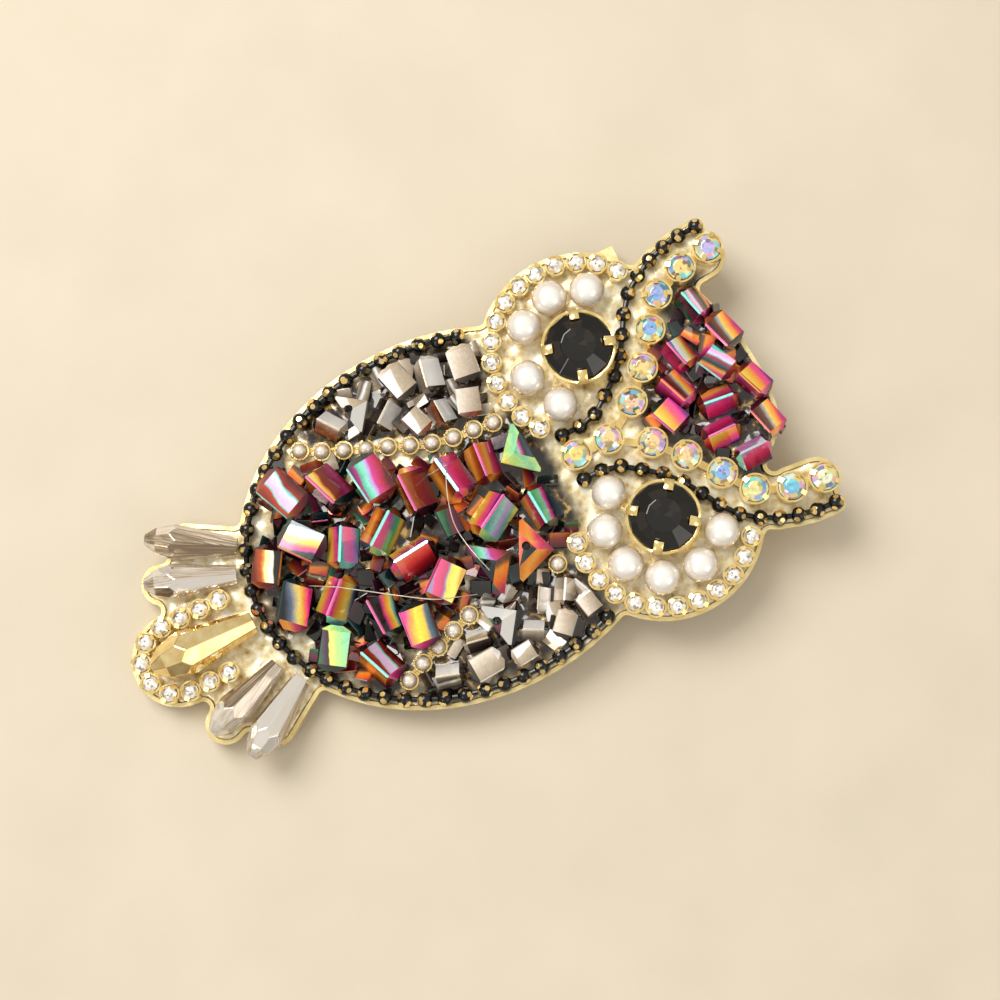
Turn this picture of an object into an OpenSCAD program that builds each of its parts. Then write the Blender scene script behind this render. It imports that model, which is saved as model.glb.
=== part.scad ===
// Beaded owl brooch, lying on its back: head towards +Y, face up.
// The owl is built flat, with the middle between its eyes on the Z axis and the plate's underside
// on Z = 0. at_rest() then lays it on the floor, on the ends of its pin and the tip of its tail.

/* [Backplate] */
// Thickness of the plate's floor
plate_t = 1; // [0.8:0.1:1.5]
// Height of the rim above the plate's floor
rim_h = 0.8; // [0.6:0.1:1.2]
// Width of the rim
rim_w = 0.45; // [0.35:0.05:0.6]
// Width of the rim that shows outside the chains and the drops
edge_show = 0.25; // [0.1:0.05:0.4]
// Radius that fills the inner corners of the outline
outline_fillet = 1.2; // [0.8:0.1:1.6]

/* [Body] */
// Width of the body, between the middles of its ball chain
body_w = 36.8; // [34:0.2:40]
// Length of the body, between the middles of its ball chain
body_l = 46; // [43:0.5:49]
// Distance from the line of the eyes down to the middle of the body
body_drop = 19.5; // [18:0.5:21]

/* [Glue bed] */
// Thickness of the clear bed that everything is set in
bed_t = 0.8; // [0.5:0.1:1.2]
// Height of the bed's swelling under the belly
dome_h = 1.2; // [0.8:0.1:1.6]
// Width of that swelling
dome_w = 17.4; // [15:0.2:17.6]

/* [Eyes] */
// Distance between the middles of the eyes
eye_spacing = 20; // [19:0.5:21]
// Diameter of each black stone
eye_stone_d = 7.2; // [6.8:0.1:7.6]
// Depth of the cup that holds it
eye_cup_h = 2.9; // [2.5:0.1:3.3]
// Width of a prong of that cup
eye_prong_w = 1; // [0.7:0.1:1.2]
// Diameter of a pearl
pearl_d = 3.8; // [3.6:0.1:4]
// Space between the cup and the ring of pearls
pearl_space = 0.4; // [0.3:0.1:0.6]

/* [Rhinestones] */
// Diameter of a small clear stone
clear_stone_d = 1.7; // [1.5:0.1:1.9]
// Depth of its cup
clear_cup_h = 1.3; // [1.1:0.1:1.6]
// Distance from one clear stone to the next
clear_pitch = 2.25; // [2.25:0.05:2.4]
// Diameter of a brow stone
brow_stone_d = 2.8; // [2.6:0.1:3]
// Depth of its cup
brow_cup_h = 1.9; // [1.7:0.1:2.4]
// Wall of a cup
cup_wall = 0.2; // [0.15:0.05:0.25]
// Width of a prong on a rhinestone's cup
cup_prong_w = 0.5; // [0.4:0.05:0.6]

/* [Ball chain] */
// Diameter of a ball
ball_d = 1.7; // [1.5:0.05:1.8]
// Distance from one ball to the next
ball_pitch = 2.15; // [2:0.05:2.4]
// Diameter of the link between two balls
link_d = 0.7; // [0.5:0.1:0.9]

/* [Cut glass beads] */
// Length of a belly bead
belly_bead_l = 5.5; // [5:0.1:5.6]
// Side of its triangular section
belly_bead_w = 4; // [3.6:0.1:4.1]
// Length of a forehead bead
brow_bead_l = 4.5; // [4.2:0.1:4.6]
// Side of its triangular section
brow_bead_w = 3.5; // [3.2:0.1:3.6]
// Length of a wing bead
wing_bead_l = 4.1; // [3.8:0.1:4.2]
// Side of its triangular section
wing_bead_w = 3.2; // [2.9:0.1:3.3]
// Width of the bevel round a bead's end, as a share of its side
bevel_share = 0.18; // [0.14:0.01:0.22]
// Short side of a right-angled bead that stands on its end
corner_bead_w = 5.1; // [4.7:0.1:5.2]
// Height of that bead
corner_bead_h = 3.5; // [3:0.1:4]
// Width of the bevels along its two short sides
corner_bevel = 1.25; // [0.9:0.05:1.4]
// Diameter of the drilled hole
bead_hole_d = 0.9; // [0.7:0.1:1]

/* [Seed pearls] */
// Diameter of a seed pearl
seed_pearl_d = 1.6; // [1.4:0.1:1.8]
// Wall of its cup
seed_wall = 0.15; // [0.1:0.05:0.25]

/* [Tail] */
// Length of the gold drop
gold_drop_l = 11.6; // [11:0.2:12.4]
// Diameter of the gold drop
gold_drop_d = 5; // [4.6:0.1:5.2]
// Length of a champagne drop
side_drop_l = 9.8; // [9:0.2:10.4]
// Diameter of a champagne drop
side_drop_d = 3.9; // [3.6:0.1:4.1]
// Space between the body's ball chain and the drops
tail_space = 0.1; // [0.1:0.05:0.3]
// Distance of the tail's middle line from the owl's own
tail_shift = 0.7; // [0.4:0.1:1]

/* [Pin] */
// Length of the bar along the back
pin_l = 32; // [29:0.5:33]
// Width of the bar
pin_w = 3.4; // [3:0.1:4]
// Thickness of the bar
pin_bar_t = 0.8; // [0.6:0.1:1]
// Height of the catch and the hinge under the plate
pin_h = 4.6; // [4.2:0.1:5]
// Diameter of the needle
needle_d = 1; // [0.8:0.1:1.2]
// Distance from the line of the eyes up to the pin
pin_rise = 7.5; // [6.5:0.5:8]

/* [Clearances] */
// Gap between a piece and what it sits on
seat_gap = 0.1; // [0.08:0.02:0.2]
// Gap round a stone in its cup, and round the bed in the rim
fit_gap = 0.05; // [0.04:0.01:0.1]

/* [Hidden] */
$fn = 32;
clear_stone_sides = 10;
brow_stone_sides = 12;
outline_sides = 64;
hair = 0.01;
drop_sides = 8;
quarter = 90;
half_turn = 180;
side_names = [[-1, "left"], [1, "right"]];

// Heights above the plate's underside
bed_z = plate_t + fit_gap;
seat_z = bed_z + bed_t + seat_gap;
rim_seat_z = max(seat_z, plate_t + rim_h + seat_gap);

// Cups and stones
cup_floor = 0.25;
cup_r = clear_stone_d / 2 + fit_gap + cup_wall;
brow_cup_r = brow_stone_d / 2 + fit_gap + cup_wall;
eye_wall = 0.3;
eye_cup_r = eye_stone_d / 2 + fit_gap + eye_wall;
eye_base_share = 0.7;
chain_link_w = 0.8;
hook_t = 0.22;
hook_reach_share = 0.24;
girdle_share = 0.05;
culet_share = 0.12;
table_share = 0.5;
crown_share = 0.16;

// Beads: the cut along each long edge and each tip, and the place of a corner bead's hole
third_turn = 120;
edge_cut_share = 0.87;
tip_share = 0.92;
corner_hole_share = [0.45, 0.35];

// Drops: their profile from the shoulder to the round end, as shares of radius and length
neck_share = 0.5;
shoulder_share = 0.68;
drop_profile = [[1.6, 0], [1.04, shoulder_share], [0.74, 0.88], [0.3, 1]];

// The eyes, and the two rings round each
eye_x = eye_spacing / 2;
pearl_ring_r = eye_cup_r + pearl_space + pearl_d / 2;
clear_ring_r = pearl_ring_r + pearl_d / 2 + seat_gap + cup_r;
ring_step = 2 * asin(clear_pitch / 2 / clear_ring_r);
ring_start = 52;
// side, angles of the pearls, number of ring stones, angle of the first prong
eye_rows = [
    [-1, [146, 184, 222, 274, 316], 14, 72],
    [1, [219, 257, 295, 333, 12, 51], 12, 54]
];

// Route of the brow stones: the two on the middle line, then one side from the middle to the horn
brow_middle = [[0, -5.2], [0, -1.4]];
brow_route = [[2.4, 2.5], [5.2, 5.1], [8.5, 7.6], [11.5, 9.9], [13, 13.4], [13.6, 16.9]];
// Route of the ball chain along one brow, from the beak to the horn
brow_ball_route = [
    [2.6, -5.6], [2.6, -3.5], [3.1, -1.5], [4.4, 0.3], [5.8, 2.1], [7.5, 3.6], [9.4, 4.8],
    [11.3, 5.9], [13.1, 7.3], [14.4, 9.1], [15.3, 10.9], [15.9, 12.8], [16.3, 14.8], [16.4, 16.9]
];
// Places of the seed pearls beside the belly, from its foot to the eye, as shares of the body's
// half width and half length from its middle
left_seeds = [
    [-0.735, -0.515], [-0.675, -0.425], [-0.625, -0.33], [-0.575, -0.235], [-0.53, -0.14],
    [-0.48, -0.045], [-0.435, 0.05], [-0.41, 0.15], [-0.4, 0.25], [-0.385, 0.345]
];
right_seeds = [
    [0.735, -0.515], [0.68, -0.425], [0.635, -0.33], [0.59, -0.235], [0.55, -0.14], [0.51, 0.326]
];
seed_reach = 3;

// The body
body_rx = body_w / 2;
body_ry = body_l / 2;
chain_start = 25;
chain_edge = ball_d / 2 + edge_show - rim_w;
dome_middle = [0, -body_drop - 5.5];
dome_sphere_r = (pow(dome_w / 2, 2) + pow(dome_h, 2)) / 2 / dome_h;

// The tail: each side drop's foot from the gold drop's, its angle, and how many of its lengths
// the plate reaches below it
tail_foot_y = -body_drop - body_ry - ball_d / 2 - tail_space;
gold_drop_foot = [tail_shift, tail_foot_y];
side_drops = [
    ["tail_drop_1", [-7.9, 1.8], 30, 0.8],
    ["tail_drop_2", [-5.3, 0.5], 19, 1.05],
    ["tail_drop_3", [5.2, 0.3], -22, 1.05],
    ["tail_drop_4", [7.6, 2.1], -33, 0.8]
];
tail_chain_r = gold_drop_d / 2 + seat_gap + cup_r;
tail_bend_y = tail_foot_y - gold_drop_l - seat_gap - cup_r + tail_chain_r;
tail_left_count = 3;
tail_right_count = 2;
tail_bend_count = 5;
tail_edge_r = tail_chain_r + cup_r + edge_show - rim_w;

// The horns
horn_r = 1.9;
horn_middle = brow_route[5] - [0.3, 0.6];

// The bead fields. Each row gives a bead's place, as shares from the field's own middle of half the
// body's size, or for the forehead of the horn's place; then its turn about Z, its roll about its
// own length, where 0 has an edge up and 60 a flat side up, its nose-up angle, and its size as a
// share of the field's.
belly_field = [
    [-0.54, -0.66, 24, 60, 0, 1],
    [-0.45, -0.47, 21, 15, 6, 1],
    [-0.38, -0.27, 8, 45, 0, 1],
    [-0.21, -0.12, 1, 15, 0, 1],
    [-0.2, 0.06, 10, 5, 4, 1],
    [-0.21, 0.22, -4, 0, 0, 0.88],
    [0.1, 0.16, -59, 0, 5, 1],
    [-0.235, -0.68, 39, 50, 0, 0.94],
    [-0.125, -0.52, -28, 0, 0, 0.9],
    [-0.1, -0.325, -53, 0, 0, 0.97],
    [0.12, -0.25, -83, 10, 6, 0.97],
    [-0.2, -0.87, -32, 60, 0, 0.84],
    [0.06, -0.85, -32, 20, 12, 1],
    [0.135, -0.65, -47, 0, 0, 0.98],
    [0.387, -0.757, -33, 50, 0, 0.88],
    [0.34, -0.495, 3, 15, 0, 0.94],
    [0.58, -0.6, 23, 10, 6, 0.93],
    [0.485, -0.36, -4, 50, 0, 0.9],
    [0.315, -0.17, -50, 35, 0, 0.92],
    [0.18, 0.37, 5, 10, 0, 0.9],
    [0.035, -0.045, 0, 25, 0, 0.7],
    [-0.32, -0.565, 70, 15, 0, 0.42],
    [0.165, -0.4, 10, 40, 0, 0.4],
    [0.455, -0.215, 30, 0, 0, 0.45]
];
left_wing_field = [
    [-0.71, -0.085, -52, 0, 0, 0.9],
    [-0.83, 0.03, 16, 50, 0, 1],
    [-0.8, 0.17, -10, 10, 0, 1],
    [-0.76, 0.34, -7, 55, 0, 1],
    [-0.58, 0.03, 20, 50, 0, 0.8],
    [-0.57, 0.15, 3, 0, 0, 0.85],
    [-0.555, 0.285, -17, 50, 0, 0.88],
    [-0.785, -0.34, 36, 0, 0, 0.9]
];
right_wing_field = [
    [0.705, -0.155, 80, 0, 0, 0.78],
    [0.81, -0.345, 72, 0, 0, 0.85],
    [0.85, -0.165, -86, 60, 0, 0.93],
    [0.885, 0.015, 96, 60, 0, 0.7],
    [0.79, 0.095, 62, 0, 0, 0.75],
    [0.835, 0.235, -42, 55, 0, 0.75],
    [0.64, 0.18, -30, 0, 0, 0.8],
    [0.66, 0.305, -30, 0, 0, 0.8],
    [0.795, 0.375, 12, 60, 0, 0.68]
];
forehead_field = [
    [-0.66, 0.76, 15, 10, 0, 0.9],
    [-0.36, 0.84, 18, 30, 0, 0.96],
    [-0.36, 0.54, 15, 10, 0, 0.9],
    [-0.15, 0.715, 26, 45, 0, 0.9],
    [-0.115, 0.42, 22, 10, 0, 1],
    [0.09, 0.875, 21, 20, 0, 0.9],
    [0.105, 0.63, 83, 0, 0, 0.95],
    [0.06, 0.31, 23, 40, 0, 0.9],
    [0.34, 0.56, 89, 0, 0, 0.93],
    [0.395, 0.84, 15, 30, 0, 0.9],
    [0.58, 0.685, -90, 10, 0, 0.9]
];
// The forehead beads that the plate's edge runs round
forehead_edge = [0, 1, 5, 9, 10, 7];
// Right-angled beads: the place of the corner, the direction of one short side, and the size
belly_corners = [
    [0.435, 0.34, 200, 1],
    [0.337, 0.16, 236, 0.96]
];
left_wing_corners = [[-0.81, -0.13, 235, 0.72]];
right_wing_corners = [[0.65, 0.065, 236, 0.78]];
beak_row = [-0.147, 0.295, 50, 0.92];

// The pin
catch_r = pin_w / 2;
catch_l = 2.2;
catch_tab_l = 3.6;
catch_tab_w = 2;
hinge_l = 2.6;
ear_t = 0.7;
pin_axis_z = -pin_h + catch_r;

// How the owl lies: its pin's ends and its tail's tip touch the floor
tail_tip_y = tail_bend_y - tail_edge_r - rim_w;
pin_reach = pin_rise - tail_tip_y;
rest_angle = asin(catch_r / norm([pin_reach, pin_axis_z])) + atan(-pin_axis_z / pin_reach);
horn_top_y = horn_middle[1] + horn_r + rim_w;
rim_top_z = plate_t + rim_h;
front_y = horn_top_y * cos(rest_angle);
back_y = tail_tip_y * cos(rest_angle) - rim_top_z * sin(rest_angle);
rest_shift = [0, -(front_y + back_y) / 2, -tail_tip_y * sin(rest_angle)];

// Places

function flip(side, p) = [side * p[0], p[1]];

function body_place(row) = [row[0] * body_rx, -body_drop + row[1] * body_ry];

function forehead_place(row) = [row[0] * brow_route[5][0], row[1] * brow_route[5][1]];

function eye_place(side) = [side * eye_x, 0];

function on_circle(middle, r, angle) = middle + r * [cos(angle), sin(angle)];

function ring_angle(side, i) = side > 0 ? ring_start - i * ring_step : half_turn - ring_start + i * ring_step;

function ring_places(row) =
    [for (i = [0:row[2] - 1]) on_circle(eye_place(row[0]), clear_ring_r, ring_angle(row[0], i))];

function brow_places() = concat(brow_middle, [for (s = [-1, 1]) for (p = brow_route) flip(s, p)]);

// The chain steps round the body by one pitch at a time, clockwise from the right eye
function chain_angles(t, last) =
    t < last ? [] : concat([t], chain_angles(t - chain_step(t), last));

function chain_step(t) = ball_pitch / norm([body_rx * sin(t), body_ry * cos(t)]) * half_turn / PI;

function body_chain() = [
    for (t = chain_angles(chain_start, -half_turn - chain_start))
        [body_rx * cos(t), body_ry * sin(t) - body_drop]
];

function tail_chain() = concat(
    [for (i = [tail_left_count:-1:1]) [tail_shift - tail_chain_r, tail_bend_y + i * clear_pitch]],
    [for (i = [0:tail_bend_count])
        on_circle([tail_shift, tail_bend_y], tail_chain_r, half_turn + i * half_turn / tail_bend_count)],
    [for (i = [1:tail_right_count]) [tail_shift + tail_chain_r, tail_bend_y + i * clear_pitch]]
);

// Height of the swelling at a distance from its middle
function dome_rise(distance) =
    distance > dome_w / 2 ? 0 : sqrt(pow(dome_sphere_r, 2) - pow(distance, 2)) - dome_sphere_r + dome_h;

// How far a turned bead reaches below its middle
function bead_low(l, w, roll, nose) =
    w / sqrt(3) * max([for (k = [0:2]) -sin(quarter + third_turn * k + roll)]) * cos(nose)
    + l / 2 * sin(abs(nose));

// Shared shapes

module at_rest() {
    translate(rest_shift) rotate([rest_angle, 0, 0]) children();
}

module at(p, z) {
    translate([p[0], p[1], z]) children();
}

module along(a, b, z) {
    step = b - a;
    at(a, z) rotate(atan2(step[1], step[0])) children();
}

module cut_stone(d, pavilion, sides) {
    r = d / 2;
    girdle = girdle_share * d;
    top = girdle + crown_share * d;
    rotate_extrude($fn = sides) polygon([
        [0, -pavilion], [culet_share * r, -pavilion], [r, 0], [r, girdle],
        [table_share * r, top], [0, top]
    ]);
}

// A cup with four prongs, whose hooks lie along the stone's crown
module stone_cup(d, h, r, base_share, prong_w) {
    seat_r = d / 2 + fit_gap;
    rotate_extrude() polygon([
        [0, 0], [base_share * r, 0], [r, h], [seat_r, h], [culet_share * seat_r, cup_floor], [0, cup_floor]
    ]);
    for (k = [0:3]) rotate(quarter * k) rotate([quarter, 0, 0])
        linear_extrude(prong_w, center = true) prong_outline(d, h, r, base_share);
}

module prong_outline(d, h, r, base_share) {
    seat_r = d / 2 + fit_gap;
    tip_r = d / 2 * (1 - hook_reach_share);
    slope = crown_share / (1 - table_share) * 2;
    top = h + girdle_share * d + fit_gap;
    rise = (seat_r - tip_r) * slope;
    polygon([
        [r, h / 2], [r, top + hook_t], [tip_r, top + rise + hook_t], [tip_r, top + rise],
        [seat_r, top], [seat_r, h], [r - cup_wall, h / 2]
    ]);
}

module cup_row(places, d, h, r, prong_w) {
    for (i = [0:len(places) - 1]) {
        next = places[min(i + 1, len(places) - 1)];
        step = next - places[i];
        at(places[i], seat_z) rotate(atan2(step[1], step[0]) + quarter / 2)
            stone_cup(d, h, r, 1, prong_w);
        if (norm(step) > 0) along(places[i], next, seat_z)
            translate([0, -chain_link_w / 2, 0]) cube([norm(step), chain_link_w, cup_floor]);
    }
}

module stone_row(places, d, h, sides) {
    for (p = places) at(p, seat_z + h) cut_stone(d, h - cup_floor - fit_gap, sides);
}

// Balls on short links, each ball turned square to the row
module ball_row(places) {
    for (i = [0:len(places) - 1]) {
        next = places[min(i + 1, len(places) - 1)];
        way = next - places[max(i - 1, 0)];
        at(places[i], seat_z + ball_d / 2) rotate(atan2(way[1], way[0]) + quarter) sphere(d = ball_d);
        if (i < len(places) - 1) along(places[i], next, seat_z + ball_d / 2)
            rotate([0, quarter, 0]) cylinder(d = link_d, h = norm(next - places[i]));
    }
}

// A drilled bead along X with an edge up: a triangular bar with its edges and ends cut
module cut_bead(l, w, hole_d) {
    edge_r = w / sqrt(3);
    difference() {
        intersection() {
            rotate([quarter, 0, quarter]) linear_extrude(l, center = true) rotate(quarter)
                intersection() {
                    circle(edge_r, $fn = 3);
                    rotate(third_turn / 2) circle(2 * edge_cut_share * edge_r, $fn = 3);
                }
            intersection_for(k = [0:2]) rotate([third_turn * (k + 1 / 2), 0, 0]) rotate([quarter, 0, 0])
                linear_extrude(2 * w, center = true) end_bevels(l / 2, w, edge_r / 2, bevel_share * w);
        }
        rotate([0, quarter, 0]) cylinder(d = hole_d, h = l + w, center = true);
    }
}

// Side view of a bar that is cut at 45 degrees at both ends, so that each flat side loses a bevel
module end_bevels(half_l, w, side_r, bevel) {
    foot = half_l - bevel + side_r + w;
    top = half_l - 2 * bevel;
    polygon([[-foot, -w], [foot, -w], [top, side_r + bevel], [-top, side_r + bevel]]);
}

module set_bead(p, row, l, w, bed_rise) {
    low = bead_low(row[5] * l, row[5] * w, row[3], row[4]);
    at(p, seat_z + bed_rise + low) rotate([0, 0, row[2]]) rotate([0, -row[4], 0])
        rotate([row[3], 0, 0]) cut_bead(row[5] * l, row[5] * w, row[5] * bead_hole_d);
}

// A right-angled bead standing on its end, its corner on the Z axis and its short sides along X
// and Y, both bevelled at the top
module corner_bead(w, h) {
    tip = tip_share * w;
    intersection() {
        linear_extrude(h) polygon([[0, 0], [tip, 0], [tip, w - tip], [w - tip, tip], [0, tip]]);
        rotate([quarter, 0, quarter]) linear_extrude(w) corner_bevels(w, h);
        translate([0, w, 0]) rotate([quarter, 0, 0]) linear_extrude(w) corner_bevels(w, h);
    }
}

module corner_bevels(w, h) {
    polygon([[0, 0], [w, 0], [w, h], [corner_bevel, h], [0, h - corner_bevel]]);
}

module set_corner(row, drilled, bed_rise) {
    w = row[3] * corner_bead_w;
    at(body_place(row), seat_z + bed_rise) rotate(row[2]) difference() {
        corner_bead(w, corner_bead_h);
        if (drilled) translate([corner_hole_share[0] * w, corner_hole_share[1] * w, -corner_bead_h / 2])
            cylinder(d = bead_hole_d, h = 2 * corner_bead_h);
    }
}

// A drop from its narrow end at the start of +X to its round end
module cut_drop(l, d) {
    r = d / 2;
    spread = neck_share + (1 - neck_share) / shoulder_share;
    rotate([0, quarter, 0]) intersection() {
        rotate_extrude($fn = drop_sides)
            polygon([[0, 0], [neck_share * r, 0], [spread * r, l], [0, l]]);
        rotate(half_turn / drop_sides) rotate_extrude($fn = drop_sides)
            polygon(concat([[0, 0]], [for (k = drop_profile) [k[0] * r, k[1] * l]], [[0, l]]));
    }
}

module set_drop(foot, angle, l, d) {
    slope = atan((1 - neck_share) * d / 2 / (shoulder_share * l));
    at(foot, rim_seat_z + neck_share * d / 2 / cos(slope)) rotate([0, 0, -quarter - angle])
        rotate([0, -slope, 0]) cut_drop(l, d);
}

// The plate

// A band of even width along a route, with round ends
module band(places, r) {
    offset(r = r) polygon(concat(places, [
        for (i = [len(places) - 1:-1:0]) places[i] + [hair, hair]
    ]));
}

module drop_lobe(d) {
    foot = side_drop_foot(d);
    far = on_circle(foot, d[3] * side_drop_l - side_drop_d / 2, -quarter - d[2]);
    band([foot, far], side_drop_d / 2 + edge_show - rim_w);
}

function side_drop_foot(d) = gold_drop_foot + d[1];

module head_outline() {
    for (s = [-1, 1]) {
        translate(eye_place(s)) circle(clear_ring_r + cup_r + edge_show - rim_w, $fn = outline_sides);
        band([for (p = brow_route) flip(s, p)], brow_cup_r - rim_w);
        band([for (p = brow_ball_route) flip(s, p)], chain_edge);
        band([flip(s, brow_route[4]), flip(s, horn_middle)], horn_r);
    }
    offset(r = brow_bead_w / 2 - rim_w) polygon([
        for (k = forehead_edge) forehead_place(forehead_field[k])
    ]);
}

module body_outline() {
    translate([0, -body_drop]) polygon([
        for (i = [0:outline_sides - 1]) let (t = i * 2 * half_turn / outline_sides)
            [(body_rx + chain_edge) * cos(t), (body_ry + chain_edge) * sin(t)]
    ]);
}

module tail_outline() {
    band([[tail_shift, tail_foot_y], [tail_shift, tail_bend_y]], tail_edge_r);
    for (d = side_drops) drop_lobe(d);
}

module outline() {
    offset(r = -outline_fillet) offset(r = outline_fillet) {
        head_outline();
        body_outline();
        tail_outline();
    }
}

module backplate() {
    color("khaki") at_rest() {
        linear_extrude(plate_t) offset(r = rim_w) outline();
        linear_extrude(plate_t + rim_h) difference() {
            offset(r = rim_w) outline();
            outline();
        }
    }
}

module resin_bed() {
    color("saddlebrown") at_rest() {
        translate([0, 0, bed_z]) linear_extrude(bed_t) offset(r = -fit_gap) outline();
        at(dome_middle, bed_z + bed_t + dome_h - dome_sphere_r) intersection() {
            sphere(dome_sphere_r, $fn = 4 * outline_sides);
            translate([0, 0, dome_sphere_r - dome_h - bed_t / 2])
                cylinder(d = dome_w + 1, h = dome_h + bed_t);
        }
    }
}

// A closed bar pin in one piece: bar, hinge ears, needle and catch
module pin_back() {
    color("gold") at_rest() translate([0, pin_rise, 0]) {
        translate([-pin_l / 2, -pin_w / 2, -fit_gap - pin_bar_t]) cube([pin_l, pin_w, pin_bar_t]);
        translate([-pin_l / 2, 0, pin_axis_z]) rotate([0, quarter, 0])
            cylinder(r = catch_r, h = catch_l);
        translate([-pin_l / 2, -pin_w / 2, pin_axis_z])
            cube([catch_l, pin_w, -pin_axis_z - fit_gap - pin_bar_t / 2]);
        translate([-pin_l / 2 - catch_tab_l, -catch_tab_w / 2, pin_axis_z])
            cube([catch_tab_l + catch_l / 2, catch_tab_w, ear_t]);
        translate([pin_l / 2 - hinge_l, 0, pin_axis_z]) rotate([0, quarter, 0])
            cylinder(r = catch_r, h = hinge_l);
        translate([pin_l / 2 - hinge_l, -pin_w / 2, pin_axis_z])
            cube([hinge_l, pin_w, -pin_axis_z - fit_gap - pin_bar_t / 2]);
        translate([-pin_l / 2 + catch_l / 2, 0, pin_axis_z]) rotate([0, quarter, 0])
            cylinder(d = needle_d, h = pin_l - catch_l);
    }
}

// The eyes

module eye_setting(row) {
    color("goldenrod") at_rest() at(eye_place(row[0]), seat_z) rotate(row[3])
        stone_cup(eye_stone_d, eye_cup_h, eye_cup_r, eye_base_share, eye_prong_w);
}

module eye_stone(row) {
    color("black") at_rest() at(eye_place(row[0]), seat_z + eye_cup_h)
        cut_stone(eye_stone_d, eye_cup_h - cup_floor - fit_gap, brow_stone_sides);
}

module pearl(row, i) {
    place = on_circle(eye_place(row[0]), pearl_ring_r, row[1][i]);
    color("ivory") at_rest() at(place, seat_z + pearl_d / 2) sphere(d = pearl_d);
}

module ring_cups(row) {
    color("gold") at_rest()
        cup_row(ring_places(row), clear_stone_d, clear_cup_h, cup_r, cup_prong_w);
}

module ring_stones(row) {
    color("white") at_rest()
        stone_row(ring_places(row), clear_stone_d, clear_cup_h, clear_stone_sides);
}

// The brow

module brow_cups() {
    color("gold") at_rest() {
        cup_row(brow_middle, brow_stone_d, brow_cup_h, brow_cup_r, cup_prong_w);
        for (s = [-1, 1]) {
            arm = [for (p = brow_route) flip(s, p)];
            cup_row(arm, brow_stone_d, brow_cup_h, brow_cup_r, cup_prong_w);
            along(brow_middle[1], arm[0], seat_z) translate([0, -chain_link_w / 2, 0])
                cube([norm(arm[0] - brow_middle[1]), chain_link_w, cup_floor]);
        }
    }
}

module brow_stone(i) {
    color("lightcyan") at_rest()
        stone_row([brow_places()[i]], brow_stone_d, brow_cup_h, brow_stone_sides);
}

module brow_balls(side) {
    color("black") at_rest() ball_row([for (p = brow_ball_route) flip(side, p)]);
}

module body_balls() {
    color("black") at_rest() ball_row(body_chain());
}

// The seed pearls

module seed_cups(seeds) {
    r = seed_pearl_d / 2 + fit_gap;
    places = [for (row = seeds) body_place(row)];
    color("gold") at_rest() for (i = [0:len(places) - 1]) {
        next = places[min(i + 1, len(places) - 1)];
        gap = norm(next - places[i]);
        at(places[i], seat_z) difference() {
            cylinder(r = r + seed_wall, h = r);
            translate([0, 0, r + seed_wall]) sphere(r);
        }
        if (gap > 0 && gap < seed_reach) along(places[i], next, seat_z)
            translate([r, -chain_link_w / 2, 0]) cube([gap - 2 * r, chain_link_w, cup_floor]);
    }
}

module seed_pearls(seeds) {
    z = seat_z + seed_pearl_d / 2 + fit_gap + seed_wall;
    color("seashell") at_rest() for (row = seeds) at(body_place(row), z) sphere(d = seed_pearl_d);
}

// The beads

function belly_rise(p, reach) = dome_rise(max(0, norm(p - dome_middle) - reach));

module belly_beads() {
    color("firebrick") at_rest() {
        for (row = belly_field) {
            p = body_place(row);
            set_bead(p, row, belly_bead_l, belly_bead_w, belly_rise(p, row[5] * belly_bead_l / 2));
        }
        for (row = belly_corners) set_corner(row, true, belly_rise(body_place(row), corner_bead_w));
    }
}

module wing_beads(field, corners) {
    color("silver") at_rest() {
        for (row = field) set_bead(body_place(row), row, wing_bead_l, wing_bead_w, 0);
        for (row = corners) set_corner(row, true, 0);
    }
}

module forehead_beads() {
    color("mediumvioletred") at_rest() for (row = forehead_field)
        set_bead(forehead_place(row), row, brow_bead_l, brow_bead_w, 0);
}

module beak() {
    color("yellowgreen") at_rest() set_corner(beak_row, false, 0);
}

// The tail

module gold_drop() {
    color("gold") at_rest() set_drop(gold_drop_foot, 0, gold_drop_l, gold_drop_d);
}

module side_drop(d) {
    color("wheat") at_rest() set_drop(side_drop_foot(d), d[2], side_drop_l, side_drop_d);
}

module tail_cups() {
    color("gold") at_rest()
        cup_row(tail_chain(), clear_stone_d, clear_cup_h, cup_r, cup_prong_w);
}

module tail_stones() {
    color("white") at_rest()
        stone_row(tail_chain(), clear_stone_d, clear_cup_h, clear_stone_sides);
}

backplate();
resin_bed();
pin_back();
for (row = eye_rows) {
    name = row[0] < 0 ? "left" : "right";
    eye_setting(row);
    eye_stone(row);
    ring_cups(row);
    ring_stones(row);
    for (i = [1:len(row[1])])
        pearl(row, i - 1);
}
brow_cups();
for (i = [1:len(brow_places())])
    brow_stone(i - 1);
body_balls();
for (s = side_names)
    brow_balls(s[0]);
seed_cups(left_seeds);  // seed_cups_left
seed_cups(right_seeds);  // seed_cups_right
seed_pearls(left_seeds);  // seed_pearls_left
seed_pearls(right_seeds);  // seed_pearls_right
belly_beads();
wing_beads(left_wing_field, left_wing_corners);  // wing_beads_left
wing_beads(right_wing_field, right_wing_corners);  // wing_beads_right
forehead_beads();
beak();
gold_drop();
for (d = side_drops)
    side_drop(d);
tail_cups();
tail_stones();
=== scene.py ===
import math
import random

import bmesh
import bpy
from mathutils import Matrix, Vector, noise
from mathutils.bvhtree import BVHTree
from mathutils.kdtree import KDTree


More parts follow.
